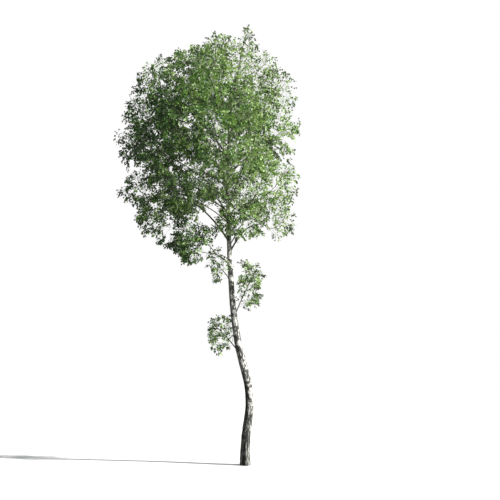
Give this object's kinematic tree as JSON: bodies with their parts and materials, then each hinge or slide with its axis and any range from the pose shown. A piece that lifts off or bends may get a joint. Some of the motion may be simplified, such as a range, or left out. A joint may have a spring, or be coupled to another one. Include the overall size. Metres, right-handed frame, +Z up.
{
  "type": "birch tree",
  "caption": "Young silver birch with a crooked, leaning pale trunk, rising tapering boughs and a full, airy crown in separate masses of leafy twigs.",
  "frame": {"origin": "middle of the flat cut under the trunk, at ground level", "axes": "+Z up, +X to the side that the trunk's crook bulges towards, -Y towards the side it is usually seen from"},
  "size_m": [3.7133, 3.6172, 9.019],
  "materials": {
    "trunk_bark": "papery white bark with dark cracks",
    "bough_bark": "smooth grey-brown young bark",
    "leaves": "thin satin leaves"
  },
  "bodies": {
    "root": {"trunk": "trunk_bark", "bough_back_left": "bough_bark", "bough_back_left_low": "bough_bark", "bough_back_left_upper": "bough_bark", "bough_back_middle": "bough_bark", "bough_back_right": "bough_bark", "bough_front_left": "bough_bark", "bough_front_left_upper": "bough_bark", "bough_left_ball": "bough_bark", "bough_left_hanging": "bough_bark", "bough_left_low": "bough_bark", "bough_left_middle": "bough_bark", "bough_left_peak": "bough_bark", "bough_left_shoulder": "bough_bark", "bough_left_upper": "bough_bark", "bough_right_hanging": "bough_bark", "bough_right_middle": "bough_bark", "bough_right_upper": "bough_bark", "bough_right_wide": "bough_bark", "foliage_top": "leaves", "foliage_crest": "leaves", "foliage_left_peak": "leaves", "foliage_left_shoulder": "leaves", "foliage_right_shoulder": "leaves", "foliage_right_upper": "leaves", "foliage_left_upper": "leaves", "foliage_left_middle": "leaves", "foliage_left_low": "leaves", "foliage_right_middle": "leaves", "foliage_right_wide": "leaves", "foliage_left_ball": "leaves", "foliage_left_hanging": "leaves", "foliage_right_hanging": "leaves", "foliage_right_low": "leaves", "foliage_trunk_spray": "leaves", "foliage_right_clump": "leaves", "foliage_left_clump": "leaves", "foliage_front_crest": "leaves", "foliage_front_right_upper": "leaves", "foliage_front_left_upper": "leaves", "foliage_front_middle": "leaves", "foliage_front_left": "leaves", "foliage_front_right": "leaves", "foliage_front_low": "leaves", "foliage_front_left_low": "leaves", "foliage_back_crest": "leaves", "foliage_back_right_upper": "leaves", "foliage_back_left_upper": "leaves", "foliage_back_middle": "leaves", "foliage_back_right": "leaves", "foliage_back_left": "leaves", "foliage_back_right_low": "leaves", "foliage_back_left_low": "leaves", "foliage_back_low": "leaves", "foliage_inner_top": "leaves", "foliage_inner_upper_left": "leaves", "foliage_inner_upper_right": "leaves", "foliage_inner_left": "leaves", "foliage_inner_right": "leaves", "foliage_inner_low": "leaves"}
  },
  "joints": []
}
